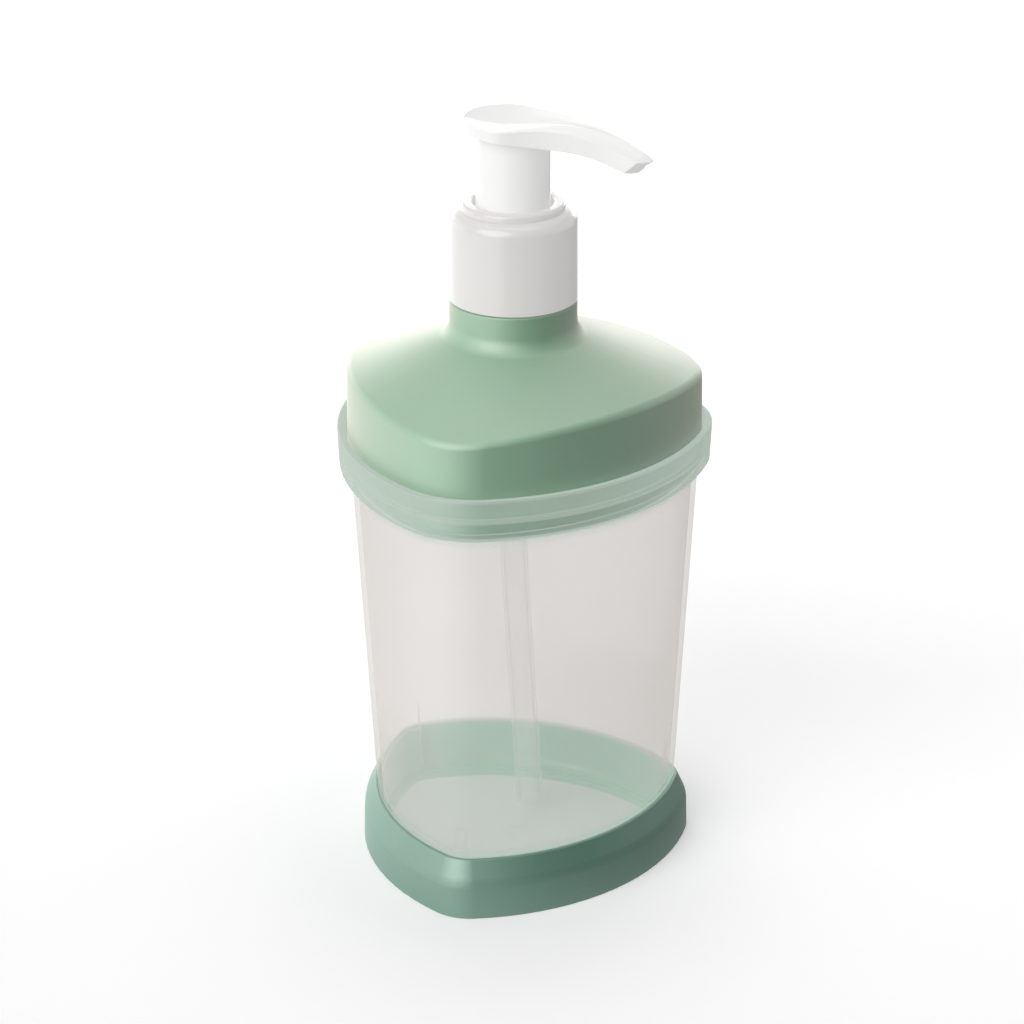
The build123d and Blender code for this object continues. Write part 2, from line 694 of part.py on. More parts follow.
pieces = {
    "foot_ring": make_foot_ring,
    "bottle_body": make_bottle_body,
    "lid": make_lid,
    "pump_closure": make_closure,
    "lock_ring": make_lock_ring,
    "neck_gasket": make_gasket,
    "pump_housing": make_housing,
    "inlet_ball": make_inlet_ball,
    "dip_tube": make_dip_tube,
    "pump_spring": make_spring,
    "pump_piston": make_piston,
    "stem_plug": make_stem_plug,
    "pump_stem": make_stem,
    "outlet_ball": make_outlet_ball,
    "pump_head": make_pump_head,
}

os.makedirs("parts", exist_ok=True)
for name, make in pieces.items():
    export_step(Pos(0, axis_offset, 0) * make(), f"parts/{name}.step")
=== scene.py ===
import math
import bmesh
import bpy
from mathutils import Matrix, Vector


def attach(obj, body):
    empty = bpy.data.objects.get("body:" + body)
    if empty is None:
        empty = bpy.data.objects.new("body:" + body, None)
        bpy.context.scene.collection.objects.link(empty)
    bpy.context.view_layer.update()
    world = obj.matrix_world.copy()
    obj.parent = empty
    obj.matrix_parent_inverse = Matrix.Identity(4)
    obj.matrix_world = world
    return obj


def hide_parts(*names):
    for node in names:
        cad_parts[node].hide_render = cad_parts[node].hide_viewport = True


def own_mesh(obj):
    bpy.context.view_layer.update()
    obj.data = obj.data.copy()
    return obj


# Soap pump bottle. Shapes are drawn in millimetres about the pump's axis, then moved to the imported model's
# place and turned into metres when a piece is finished.

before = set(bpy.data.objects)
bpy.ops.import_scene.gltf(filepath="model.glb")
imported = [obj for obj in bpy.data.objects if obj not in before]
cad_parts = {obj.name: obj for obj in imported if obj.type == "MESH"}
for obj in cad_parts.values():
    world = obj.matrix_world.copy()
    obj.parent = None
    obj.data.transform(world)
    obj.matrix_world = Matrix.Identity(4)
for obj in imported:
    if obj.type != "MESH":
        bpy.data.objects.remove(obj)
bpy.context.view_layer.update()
axisShift = 3.3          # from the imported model's origin to the pump's axis, along +Y
millimetre = 0.001
cornerAngles = (-90, 30, 150)
cornerSpacing = 120
circleSteps = 96
cornerSteps = 16
sideSteps = 18
roundSteps = 4           # segments of a plain edge rounding
hairline = 0.001         # between level loops, so that the bridge between two of them has a direction
samePoint = 0.0005       # points closer than this are one
sharpAngle = 38          # edges that turn more than this many degrees stay crisp
print("frame loaded")


def polar(distance, angle, height=0):
    turn = math.radians(angle)
    return Vector((distance * math.cos(turn), distance * math.sin(turn), height))


def newEdges(mesh, known):
    return [edge for edge in mesh.edges if edge not in known]


def pick(items, kind):
    return [item for item in items if isinstance(item, kind)]


def extrudeLoop(mesh, loop):
    # The points and edges of the loop's copy, which new faces join to it
    grown = bmesh.ops.extrude_edge_only(mesh, edges=loop)["geom"]
    points = pick(grown, bmesh.types.BMVert)
    edges = [edge for edge in pick(grown, bmesh.types.BMEdge) if all(end in points for end in edge.verts)]
    return points, edges


def closeEnds(mesh, first, last):
    # Fill both ends of a swept section: its first edges, and the last of what the sweep gave back
    bmesh.ops.edgeloop_fill(mesh, edges=first)
    bmesh.ops.edgeloop_fill(mesh, edges=pick(last, bmesh.types.BMEdge))


def circleLoop(mesh, radius, height):
    known = set(mesh.edges)
    bmesh.ops.create_circle(mesh, segments=circleSteps, radius=radius,
                            matrix=Matrix.Translation((0, 0, height)))
    return newEdges(mesh, known)


def outlineLoop(mesh, plan, height, grow=0):
    # Three corner arcs and three long side arcs, made by spinning one point round their centres
    reach, side, radius = (size + grow for size in plan)
    centre = reach - radius
    sideRadius = (side**2 + centre**2 - side * centre - radius**2) / (2 * side - centre - 2 * radius)
    offset = sideRadius - side
    half = math.atan2(offset * math.sin(math.radians(cornerSpacing / 2)), centre + offset / 2)
    cornerTurn = 2 * math.degrees(half)
    known = set(mesh.edges)
    first = cornerAngles[0]
    start = mesh.verts.new(polar(centre, first, height) + polar(radius, first - cornerTurn / 2))
    point = start
    for angle in cornerAngles:
        turns = ((polar(centre, angle), cornerTurn, cornerSteps),
                 (polar(offset, angle - cornerSpacing), cornerSpacing - cornerTurn, sideSteps))
        for middle, turn, steps in turns:
            spun = bmesh.ops.spin(mesh, geom=[point], cent=middle, axis=(0, 0, 1),
                                  angle=math.radians(turn), steps=steps)
            point = pick(spun["geom_last"], bmesh.types.BMVert)[0]
    bmesh.ops.weld_verts(mesh, targetmap={point: start})
    return newEdges(mesh, known)


def loopPoints(loop):
    return list({point for edge in loop for point in edge.verts})


def joinLoops(mesh, loops, closed=False):
    following = loops[1:] + loops[:1] if closed else loops[1:]
    for low, high in zip(loops, following):
        bmesh.ops.bridge_loops(mesh, edges=low + high)


def roundOff(mesh, edges, size, segments=roundSteps):
    bmesh.ops.bevel(mesh, geom=edges, offset=size, offset_type="OFFSET", segments=segments,
                    profile=0.5, affect="EDGES", material=-1)


def turnedPiece(mesh, levels, segments=roundSteps):
    # Closed ring from levels of (radius, height, rounding)
    loops = [circleLoop(mesh, radius, height) for radius, height, _ in levels]
    joinLoops(mesh, loops, closed=True)
    for loop, (_, _, size) in zip(loops, levels):
        if size:
            roundOff(mesh, loop, size, segments)


def outlineStack(mesh, levels, closed=False):
    # Three-cornered walls from levels of (plan, grow, height, rounding)
    loops = [outlineLoop(mesh, plan, height + place * hairline, grow)
             for place, (plan, grow, height, _) in enumerate(levels)]
    rounds = [(place, size) for place, (_, _, _, size) in enumerate(levels) if size]
    joinLoops(mesh, loops, closed)
    return loops, rounds


def joined(mesh, tool, operation, levels=0):
    # The mesh, subdivided where levels are given, with the tool's shape added to it or cut out of it
    things = []
    for name, shape in (("shape", mesh), ("tool", tool)):
        bmesh.ops.recalc_face_normals(shape, faces=shape.faces)
        data = bpy.data.meshes.new(name)
        shape.to_mesh(data)
        shape.free()
        things.append(bpy.data.objects.new(name, data))
        bpy.context.scene.collection.objects.link(things[-1])
    if levels:
        smoothing = things[0].modifiers.new("smoothing", "SUBSURF")
        smoothing.levels = smoothing.render_levels = levels
    cut = things[0].modifiers.new("cut", "BOOLEAN")
    cut.operation = operation
    cut.solver = "EXACT"
    cut.object = things[1]
    made = bmesh.new()
    made.from_object(things[0], bpy.context.evaluated_depsgraph_get())
    for thing in things:
        data = thing.data
        bpy.data.objects.remove(thing)
        bpy.data.meshes.remove(data)
    return made


def finishPiece(name, mesh, material, body, replaced):
    bmesh.ops.remove_doubles(mesh, verts=mesh.verts, dist=samePoint)
    bmesh.ops.recalc_face_normals(mesh, faces=mesh.faces)
    bmesh.ops.translate(mesh, verts=mesh.verts, vec=(0, axisShift, 0))
    bmesh.ops.scale(mesh, verts=mesh.verts, vec=(millimetre,) * 3)
    for face in mesh.faces:
        face.smooth = True
    data = bpy.data.meshes.new(name)
    mesh.to_mesh(data)
    mesh.free()
    piece = bpy.data.objects.new(name, data)
    bpy.context.scene.collection.objects.link(piece)
    data.materials.append(material)
    data.set_sharp_from_angle(angle=math.radians(sharpAngle))
    weighted = piece.modifiers.new("evenShading", "WEIGHTED_NORMAL")
    weighted.keep_sharp = True
    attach(piece, body)
    if replaced:
        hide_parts(*replaced)
    print("made", name, len(data.polygons), "faces")
    return piece


mixFirst, mixSecond, mixResult = 6, 7, 2      # a Mix node's colour sockets, by number
broadDetail, fineDetail = 2, 3      # noise layers: slow drifts of tone, and a mould's fine skin
noiseLow, noiseHigh = 0.3, 0.7      # nearly all of a noise texture's values lie between these
slantPower = 3                      # how late the veil and the shine gather towards an edge


def paint(code):
    # Linear colour from a hex code as seen on a screen, by the sRGB curve
    channels = [int(code[place:place + 2], 16) / 255 for place in (1, 3, 5)]
    linear = [channel / 12.92 if channel <= 0.04045 else ((channel + 0.055) / 1.055) ** 2.4
              for channel in channels]
    return (*linear, 1)


def addNode(tree, kind, links={}, values={}, **properties):
    node = tree.nodes.new(kind)
    for name, value in properties.items():
        setattr(node, name, value)
    for socket, value in values.items():
        node.inputs[socket].default_value = value
    for socket, source in links.items():
        tree.links.new(source, node.inputs[socket])
    return node


def newMaterial(name):
    material = bpy.data.materials.new(name)
    material.use_nodes = True
    material.node_tree.nodes.clear()
    return material, material.node_tree


def driftingTone(tree, look):
    # Two close tones that drift into each other, as where a melt flowed, and the place they are drawn about
    place = addNode(tree, "ShaderNodeTexCoord")
    centred = addNode(tree, "ShaderNodeMapping", links={"Vector": place.outputs["Object"]},
                      values={"Location": (0, -axisShift * millimetre, 0)})
    drift = addNode(tree, "ShaderNodeTexNoise", links={"Vector": centred.outputs["Vector"]},
                    values={"Scale": 1 / (look["driftSize"] * millimetre), "Detail": broadDetail})
    tone = addNode(tree, "ShaderNodeMix", data_type="RGBA", links={"Factor": drift.outputs["Fac"]},
                   values={mixFirst: paint(look["colour"]), mixSecond: paint(look["lighter"])})
    return tone, centred


def solidMaterial(name, look):
    # Tone drifts slowly over the piece, and a fine skin breaks up the gloss
    material, tree = newMaterial(name)
    tone, centred = driftingTone(tree, look)
    skin = addNode(tree, "ShaderNodeTexNoise", links={"Vector": centred.outputs["Vector"]},
                   values={"Scale": 1 / (look["skinSize"] * millimetre), "Detail": fineDetail})
    relief = addNode(tree, "ShaderNodeBump", links={"Height": skin.outputs["Fac"]},
                     values={"Strength": look["skinStrength"], "Distance": look["skinDepth"] * millimetre})
    gloss = addNode(tree, "ShaderNodeMapRange", links={"Value": skin.outputs["Fac"]},
                    values={"From Min": noiseLow, "From Max": noiseHigh,
                            "To Min": look["roughness"] - look["patchy"],
                            "To Max": look["roughness"] + look["patchy"]})
    shader = addNode(tree, "ShaderNodeBsdfPrincipled", values=look["shader"],
                     links={"Base Color": tone.outputs[mixResult], "Roughness": gloss.outputs[0],
                            "Normal": relief.outputs["Normal"]})
    addNode(tree, "ShaderNodeOutputMaterial", links={"Surface": shader.outputs["BSDF"]})
    return material


def milkyMaterial(name, look):
    # Light passes straight through a milky veil, which thickens where the wall is seen at a slant; light
    # caught in the veil travels along the wall and comes out evenly all round
    material, tree = newMaterial(name)
    milkTone, centred = driftingTone(tree, look)
    height = addNode(tree, "ShaderNodeSeparateXYZ", links={"Vector": centred.outputs["Vector"]})
    # Painted green glow: the glow colour is mixed in by height, near the foot and near the rim, for light
    # from the green ring and lid
    low = addNode(tree, "ShaderNodeMapRange", interpolation_type="SMOOTHSTEP",
                  links={"Value": height.outputs["Z"]},
                  values={"From Min": look["lowFull"] * millimetre, "From Max": look["lowEnd"] * millimetre,
                          "To Min": look["lowShare"], "To Max": 0})
    high = addNode(tree, "ShaderNodeMapRange", interpolation_type="SMOOTHSTEP",
                   links={"Value": height.outputs["Z"]},
                   values={"From Min": look["highEnd"] * millimetre,
                           "From Max": look["highFull"] * millimetre})
    lit = addNode(tree, "ShaderNodeMath", operation="MULTIPLY_ADD",
                  links={0: high.outputs[0], 2: low.outputs[0]}, values={1: look["highShare"]})
    tone = addNode(tree, "ShaderNodeMix", data_type="RGBA",
                   links={"Factor": lit.outputs[0], mixFirst: milkTone.outputs[mixResult]},
                   values={mixSecond: paint(look["paintedGlow"])})
    clear = addNode(tree, "ShaderNodeBsdfTransparent", values={"Color": paint("#FFFFFF")})
    veil = addNode(tree, "ShaderNodeBsdfDiffuse", links={"Color": tone.outputs[mixResult]})
    glow = addNode(tree, "ShaderNodeBsdfTranslucent", links={"Color": tone.outputs[mixResult]})
    milk = addNode(tree, "ShaderNodeMixShader", values={"Fac": 0.5},
                   links={1: veil.outputs["BSDF"], 2: glow.outputs["BSDF"]})
    caught = addNode(tree, "ShaderNodeEmission", links={"Color": tone.outputs[mixResult]},
                     values={"Strength": look["caught"]})
    evened = addNode(tree, "ShaderNodeMixShader", values={"Fac": look["evened"]},
                     links={1: milk.outputs["Shader"], 2: caught.outputs[0]})
    slant = addNode(tree, "ShaderNodeLayerWeight", values={"Blend": 0.5})
    steep = addNode(tree, "ShaderNodeMath", operation="POWER", links={0: slant.outputs["Facing"]},
                    values={1: slantPower})
    depth = addNode(tree, "ShaderNodeMapRange", links={"Value": steep.outputs[0]},
                    values={"To Min": look["haze"], "To Max": look["edgeHaze"]})
    aslant = addNode(tree, "ShaderNodeMath", operation="MULTIPLY",
                     links={0: high.outputs[0], 1: slant.outputs["Facing"]})
    veilShare = addNode(tree, "ShaderNodeMath", operation="MULTIPLY_ADD",
                    links={0: aslant.outputs[0], 2: depth.outputs[0]}, values={1: look["rimHaze"]})
    # Painted light rings: bands of whiter veil painted as highlights on edges and as a line of light, and one
    # clearer band painted darker where the rim's underside is in shade
    for level, half, more in look["paintedLightRings"]:
        onPaintedRing = addNode(tree, "ShaderNodeMath", operation="COMPARE", links={0: height.outputs["Z"]},
                         values={1: level * millimetre, 2: half * millimetre})
        veilShare = addNode(tree, "ShaderNodeMath", operation="MULTIPLY_ADD", use_clamp=True,
                        links={0: onPaintedRing.outputs[0], 2: veilShare.outputs[0]}, values={1: more})
    path = addNode(tree, "ShaderNodeLightPath")
    indirect = addNode(tree, "ShaderNodeMath", operation="MAXIMUM",
                       links={0: path.outputs["Is Shadow Ray"], 1: path.outputs["Is Diffuse Ray"]})
    through = clear
    if look["bend"] > 1:
        bent = addNode(tree, "ShaderNodeBsdfRefraction", values={"IOR": look["bend"], "Roughness": 0})
        through = addNode(tree, "ShaderNodeMixShader",
                          links={0: indirect.outputs[0], 1: bent.outputs["BSDF"], 2: clear.outputs["BSDF"]})
    passing = addNode(tree, "ShaderNodeMapRange", links={"Value": indirect.outputs[0]},
                      values={"To Min": 1, "To Max": look["shade"]})
    share = addNode(tree, "ShaderNodeMath", operation="MULTIPLY",
                    links={0: veilShare.outputs[0], 1: passing.outputs[0]})
    body = addNode(tree, "ShaderNodeMixShader",
                   links={0: share.outputs[0], 1: through.outputs[0], 2: evened.outputs["Shader"]})
    shine = addNode(tree, "ShaderNodeBsdfGlossy", values={"Roughness": look["roughness"]})
    amount = addNode(tree, "ShaderNodeMapRange", links={"Value": steep.outputs[0]},
                     values={"To Min": look["shine"], "To Max": look["edgeShine"]})
    surface = addNode(tree, "ShaderNodeMixShader",
                      links={0: amount.outputs[0], 1: body.outputs["Shader"], 2: shine.outputs["BSDF"]})
    addNode(tree, "ShaderNodeOutputMaterial", links={"Surface": surface.outputs["Shader"]})
    return material


# Polypropylene, injection moulded in a spark-eroded mould: matt, with a whitish bloom towards the edges. An
# IOR above the plastic's own 1.49, with sheen, gives the bloom that light scattered under the skin has. The
# skin's grit of about 0.05 mm is drawn 0.35 mm wide so that it shows.
lidPlastic = solidMaterial("polypropyleneMouldedSatinGreen", {
    "colour": "#5A8F6E", "lighter": "#629675", "driftSize": 22, "skinSize": 0.35, "skinStrength": 0.15,
    "skinDepth": 0.05, "roughness": 0.6, "patchy": 0.05,
    "shader": {"IOR": 2.0, "Specular IOR Level": 1.0, "Sheen Weight": 0.6, "Sheen Roughness": 0.5,
               "Sheen Tint": paint("#FFEFE6"), "Specular Tint": paint("#FFFAF6"),
               "Coat Weight": 0.4, "Coat Roughness": 0.5},
})
# The same plastic in a deeper sea green: a little smoother, so its top slope catches a soft light.
ringPlastic = solidMaterial("polypropyleneMouldedSeaGreen", {
    "colour": "#0C5540", "lighter": "#125C46", "driftSize": 22, "skinSize": 0.35, "skinStrength": 0.2,
    "skinDepth": 0.05, "roughness": 0.56, "patchy": 0.05,
    "shader": {"IOR": 2.1, "Specular IOR Level": 1.0, "Specular Tint": paint("#EEFFF6"),
               "Sheen Weight": 0.05, "Sheen Roughness": 0.5, "Coat Weight": 0.15, "Coat Roughness": 0.5},
})
# The ring's collar and ledge take a lighter copy of the green, painted for light that comes through the thin
# plastic: both the paler base colour and the weak emission are painted light.
paintedLitCollarPlastic = solidMaterial("polypropyleneMouldedGreenPaintedLit", {
    "colour": "#7CCBAC", "lighter": "#85D1B4", "driftSize": 22, "skinSize": 0.35, "skinStrength": 0.2,
    "skinDepth": 0.05, "roughness": 0.5, "patchy": 0.05,
    "shader": {"IOR": 1.49, "Sheen Weight": 0.4, "Emission Color": paint("#7CCBAC"),
               "Emission Strength": 0.08},
})
# White polypropylene from a smooth mould: bright soft-edged highlights, no grain to speak of. The emission
# stands for light that scatters inside the white plastic and comes out again, so shadows stay pale.
closurePlastic = solidMaterial("polypropyleneMouldedWhite", {
    "colour": "#A3A09E", "lighter": "#A7A5A3", "driftSize": 15, "skinSize": 0.8, "skinStrength": 0.1,
    "skinDepth": 0.03, "roughness": 0.22, "patchy": 0.03,
    "shader": {"IOR": 1.49, "Emission Color": paint("#FFFEFC"), "Emission Strength": 0.31},
})
# White polypropylene from a polished mould: sharp, mirror-like highlights along the head's crests.
# Its weak emission is painted light, standing for light that scatters inside the white plastic, so the head's
# shadows stay pale.
headPlastic = solidMaterial("polypropyleneMouldedPolishedWhite", {
    "colour": "#C8C8C8", "lighter": "#CBCBCA", "driftSize": 15, "skinSize": 1.5, "skinStrength": 0.08,
    "skinDepth": 0.03, "roughness": 0.1, "patchy": 0.02,
    "shader": {"IOR": 1.49, "Specular IOR Level": 0.2, "Emission Color": paint("#FFFFFE"),
               "Emission Strength": 0.27},
})
# Unpigmented polypropylene, blow moulded: cloudy, shows what is inside as if through thin milk. Beside the
# green ring and lid a green glow is painted into it by height, standing for their light in the milk. Each
# painted light ring is (height, half its width, more haze): whiter veil painted as a highlight along the
# rim's top edge and the snap bead, a clearer band under the bead painted darker where the rim's underside is
# in shade, then the rim's foot and the line of light at the foot ring, both painted as highlights too.
bottlePlastic = milkyMaterial("polypropyleneBlownMilky", {
    "colour": "#DBD4CF", "lighter": "#E0DAD5", "driftSize": 40, "haze": 0.235, "edgeHaze": 0.55,
    "shade": 0.05, "paintedGlow": "#A2D2BE", "lowShare": 0.9, "lowFull": 13, "lowEnd": 18, "highShare": 0.45,
    "highEnd": 101, "highFull": 104, "rimHaze": 0.65, "bend": 1, "caught": 0.85, "evened": 0.8,
    "paintedLightRings": ((115.6, 0.35, 0.35), (110.2, 0.45, 0.3), (107.9, 1.8, -0.16), (105.6, 0.5, 0.3),
                   (15.85, 0.4, 0.4)),
    "roughness": 0.15, "shine": 0.04, "edgeShine": 0.12,
})
# Natural polyethylene, extruded as tube: waxy, clearer in the middle than along its edges. The bend is kept
# far below the plastic's own 1.51, so that what is behind the tube is only slightly shifted.
# Near its foot and its top the tube takes a painted green glow too, for light from the green ring and lid.
tubePlastic = milkyMaterial("polyethyleneExtrudedNatural", {
    "colour": "#EDEBE7", "lighter": "#F3F1EE", "driftSize": 30, "haze": 0.1, "edgeHaze": 0.45, "shade": 0.05,
    "paintedGlow": "#C4E0D4", "lowShare": 0.8, "lowFull": 10, "lowEnd": 40, "highShare": 0.3, "highEnd": 95,
    "highFull": 104, "rimHaze": 0, "paintedLightRings": (), "bend": 1.02, "caught": 0.8, "evened": 0.5,
    "roughness": 0.3, "shine": 0.02, "edgeShine": 0.1,
})
# Closed-cell polyethylene foam, sliced: dull, with pores of about half a millimetre as its skin.
foam = solidMaterial("polyethyleneFoamSliced", {
    "colour": "#E4E0D6", "lighter": "#EFEBE2", "driftSize": 3, "skinSize": 0.5, "skinStrength": 1.0,
    "skinDepth": 0.2, "roughness": 0.85, "patchy": 0.05, "shader": {"IOR": 1.45},
})
# Stainless wire, drawn and coiled: grey metal with fine scratches along it.
springSteel = solidMaterial("stainlessSteelDrawnWire", {
    "colour": "#9A9B9E", "lighter": "#B4B5B8", "driftSize": 2, "skinSize": 0.3, "skinStrength": 0.15,
    "skinDepth": 0.02, "roughness": 0.28, "patchy": 0.06, "shader": {"Metallic": 1},
})
# Stainless ball, ground and lapped: a bright even mirror.
ballSteel = solidMaterial("stainlessSteelLapped", {
    "colour": "#C4C5C7", "lighter": "#CBCCCE", "driftSize": 2, "skinSize": 0.4, "skinStrength": 0.02,
    "skinDepth": 0.01, "roughness": 0.07, "patchy": 0.01, "shader": {"Metallic": 1},
})
print("materials made")


# Plans are (reach to a corner, reach to a side's middle, corner radius)
rimPlan = (50.5, 43.9, 22.8)
bottle = {
    "footPlan": (42.6, 35.4, 8.8), "footHeight": 15.4, "shoulderPlan": (47.1, 40.5, 19.4), "shoulder": 104.3,
    "wall": 1.3, "floorUnder": 1.8, "floorTop": 3.4, "floorRound": 2.5, "footEdge": 0.3, "seatEdge": 0.3,
    "rimTop": 115.9, "rimWall": 1.7, "rimDraft": 0.5, "seat": 106.3, "rimUnder": 105.0, "rimUnderRound": 1.6,
    "rimEdge": 0.35, "bead": 110.2, "beadProud": 0.2, "beadHalf": 0.5,
    "ribWidth": 3.0, "ribDepth": 2.2, "ribHeight": 19.5, "ribTaper": 1.2, "ribEdge": 0.3, "ribRoot": 0.6,
    "gateRadius": 2.2, "gateDepth": 0.4, "gateDraft": 0.2, "roundSteps": 5, "gateSteps": 3, "ribSteps": 2,
}


def wallPlan(height):
    share = (height - bottle["footHeight"]) / (bottle["shoulder"] - bottle["footHeight"])
    return tuple(foot * (1 - share) + shoulder * share
                 for foot, shoulder in zip(bottle["footPlan"], bottle["shoulderPlan"]))


def drawIn(mesh, loop, radius, height):
    # New loop inside this one, its points drawn in to a circle along their own radii
    points, edges = extrudeLoop(mesh, loop)
    for point in points:
        scale = radius / math.hypot(point.co.x, point.co.y)
        point.co = Vector((point.co.x * scale, point.co.y * scale, height))
    return edges


def cornerRib(mesh, angle):
    # Upright rib in a corner, standing in the floor and leaning with the wall
    foot, top = bottle["floorTop"] - bottle["ribRoot"], bottle["floorTop"] + bottle["ribHeight"]
    corners = bmesh.ops.create_cube(mesh, size=1)["verts"]
    for corner in corners:
        high = corner.co.z > 0
        reach = wallPlan(top if high else foot)[0] - bottle["wall"] - bottle["ribDepth"]
        if corner.co.x > 0:
            reach += bottle["ribDepth"] + bottle["wall"] / 2
        elif high:
            reach += bottle["ribTaper"]
        corner.co = Vector((reach, corner.co.y * bottle["ribWidth"], top if high else foot))
    bmesh.ops.rotate(mesh, verts=corners, cent=(0, 0, 0), matrix=Matrix.Rotation(math.radians(angle), 3, "Z"))
    roundOff(mesh, list({edge for corner in corners for edge in corner.link_edges}), bottle["ribEdge"],
             bottle["ribSteps"])


def makeBottle():
    # Up the outside from the floor to the rim, then down the inside over the seat to the floor
    wall = -bottle["wall"]
    slope = bottle["rimDraft"] / (bottle["rimTop"] - bottle["rimUnder"])
    beadTop, beadFoot = bottle["bead"] + bottle["beadHalf"], bottle["bead"] - bottle["beadHalf"]

    def rimInner(height):
        return -bottle["rimWall"] - slope * (bottle["rimTop"] - height)

    mesh = bmesh.new()
    levels = [
        (wallPlan(bottle["floorUnder"]), 0, bottle["floorUnder"], bottle["footEdge"]),
        (bottle["shoulderPlan"], 0, bottle["shoulder"], 0),
        (rimPlan, -bottle["rimDraft"], bottle["rimUnder"], bottle["rimUnderRound"]),
        (rimPlan, 0, bottle["rimTop"], bottle["rimEdge"]),
        (rimPlan, -bottle["rimWall"], bottle["rimTop"], bottle["rimEdge"]),
        (rimPlan, rimInner(beadTop), beadTop, 0),
        (rimPlan, rimInner(bottle["bead"]) - bottle["beadProud"], bottle["bead"], 0),
        (rimPlan, rimInner(beadFoot), beadFoot, 0),
        (rimPlan, rimInner(bottle["seat"]), bottle["seat"], bottle["seatEdge"]),
        (bottle["shoulderPlan"], wall, bottle["seat"], bottle["seatEdge"]),
        (bottle["shoulderPlan"], wall, bottle["shoulder"], 0),
        (wallPlan(bottle["floorTop"]), wall, bottle["floorTop"], bottle["floorRound"]),
    ]
    loops, rounds = outlineStack(mesh, levels)
    bmesh.ops.edgeloop_fill(mesh, edges=loops[0])
    gate = drawIn(mesh, loops[-1], bottle["gateRadius"], bottle["floorTop"])
    well = drawIn(mesh, gate, bottle["gateRadius"] - bottle["gateDraft"],
                  bottle["floorTop"] - bottle["gateDepth"])
    bmesh.ops.edgeloop_fill(mesh, edges=well)
    for place, size in rounds:
        roundOff(mesh, loops[place], size, bottle["roundSteps"])
    roundOff(mesh, gate, bottle["gateDraft"] / 2, bottle["gateSteps"])
    ribs = bmesh.new()
    for angle in cornerAngles:
        cornerRib(ribs, angle)
    finishPiece("bottleShell", joined(mesh, ribs, "UNION"), bottlePlastic, "bottle", ("bottle_body",))


footRing = {
    "plan": (46.3, 39.1, 12.5), "flare": 0.25, "break": 9.6, "breakRound": 1.6, "lip": 0.8, "gap": 0.04,
    "wall": 1.3, "collar": 1.1, "grooveTop": 8.4, "ledge": 2.4, "edge": 0.3, "footEdge": 0.4, "lipEdge": 0.15,
    "inward": 0.7, "roundSteps": 5,
}


def makeFootRing():
    # Up the outside, over the slope, down the collar, in along the ledge and back round the groove
    foot, under = bottle["footHeight"], bottle["floorUnder"]
    mesh = bmesh.new()
    levels = [
        (footRing["plan"], 0, 0, footRing["footEdge"]),
        (footRing["plan"], -footRing["flare"], footRing["break"], footRing["breakRound"]),
        (wallPlan(foot), footRing["lip"], foot, footRing["edge"]),
        (wallPlan(foot), footRing["gap"], foot, footRing["lipEdge"]),
        (wallPlan(under), footRing["gap"], under, 0),
        (wallPlan(0), -footRing["ledge"], under, footRing["edge"]),
        (wallPlan(0), -footRing["ledge"], 0, footRing["edge"]),
        (wallPlan(0), footRing["collar"], 0, footRing["edge"]),
        (wallPlan(footRing["grooveTop"]), footRing["collar"], footRing["grooveTop"], 0),
        (footRing["plan"], -footRing["wall"] - footRing["flare"], footRing["grooveTop"], 0),
        (footRing["plan"], -footRing["wall"], 0, footRing["edge"]),
    ]
    loops, rounds = outlineStack(mesh, levels, closed=True)
    for place, size in rounds:
        roundOff(mesh, loops[place], size, footRing["roundSteps"])
    bmesh.ops.recalc_face_normals(mesh, faces=mesh.faces)
    # The collar's inner face and the ledge under the bottle take the copy painted lighter
    for face in mesh.faces:
        middle = face.calc_center_median()
        inwards = middle.z < foot and face.normal.dot(middle) < -footRing["inward"] * middle.length
        shelf = middle.z < footRing["break"] and face.normal.z > footRing["inward"]
        if inwards or shelf:
            face.material_index = 1
    piece = finishPiece("footRing", mesh, ringPlastic, "bottle", ("foot_ring",))
    piece.data.materials.append(paintedLitCollarPlastic)


# The ridge's ends fade in over one turn divided by "fade"
thread = {"pitch": 4.23, "turns": 1.75, "width": 2.1, "crown": 0.8, "sink": 0.2, "fade": 6}


def screwThread(mesh, radius, height, foot):
    # Ridge wound up a mouth, which fades in and out at its ends; a negative height points inwards
    steps = round(circleSteps / 2 * thread["turns"])
    root = radius - math.copysign(thread["sink"], height)
    crest = radius + height
    base, crown = thread["width"] / 2, thread["crown"] / 2
    section = [mesh.verts.new((reach, 0, foot + place))
               for reach, place in ((root, -base), (crest, -crown), (crest, crown), (root, base))]
    ends = [mesh.edges.new((section[place - 1], section[place])) for place in range(len(section))]
    known = set(mesh.verts) - set(section)
    wound = bmesh.ops.spin(mesh, geom=section + ends, cent=(0, 0, 0), axis=(0, 0, 1),
                           dvec=(0, 0, thread["pitch"] * thread["turns"] / steps),
                           angle=math.tau * thread["turns"], steps=steps)
    closeEnds(mesh, ends, wound["geom_last"])
    for point in set(mesh.verts) - known:
        travel = (point.co.z - foot) / (thread["pitch"] * thread["turns"])
        share = min(1, max(0, min(travel, 1 - travel) * thread["turns"] * thread["fade"]))
        reach = math.hypot(point.co.x, point.co.y)
        wanted = root + (reach - root) * share
        point.co.x *= wanted / reach
        point.co.y *= wanted / reach


lid = {
    "foot": 106.4, "inset": 2.4, "creaseInset": 2.8, "crease": 131.6, "slope": 0.392, "creaseReach": 41.1,
    "creaseRound": 1.5, "wall": 1.5, "neck": 15.85, "shoulder": 150.0, "neckRound": 3.0, "edge": 0.4,
    "finish": 12.6, "mouth": 168.3, "bore": 11.2, "skirtFoot": 103.4, "skirtWall": 1.3, "skirtGap": 0.3,
    "threadFoot": 156.0, "threadHeight": 0.95, "creaseSteps": 8,
}


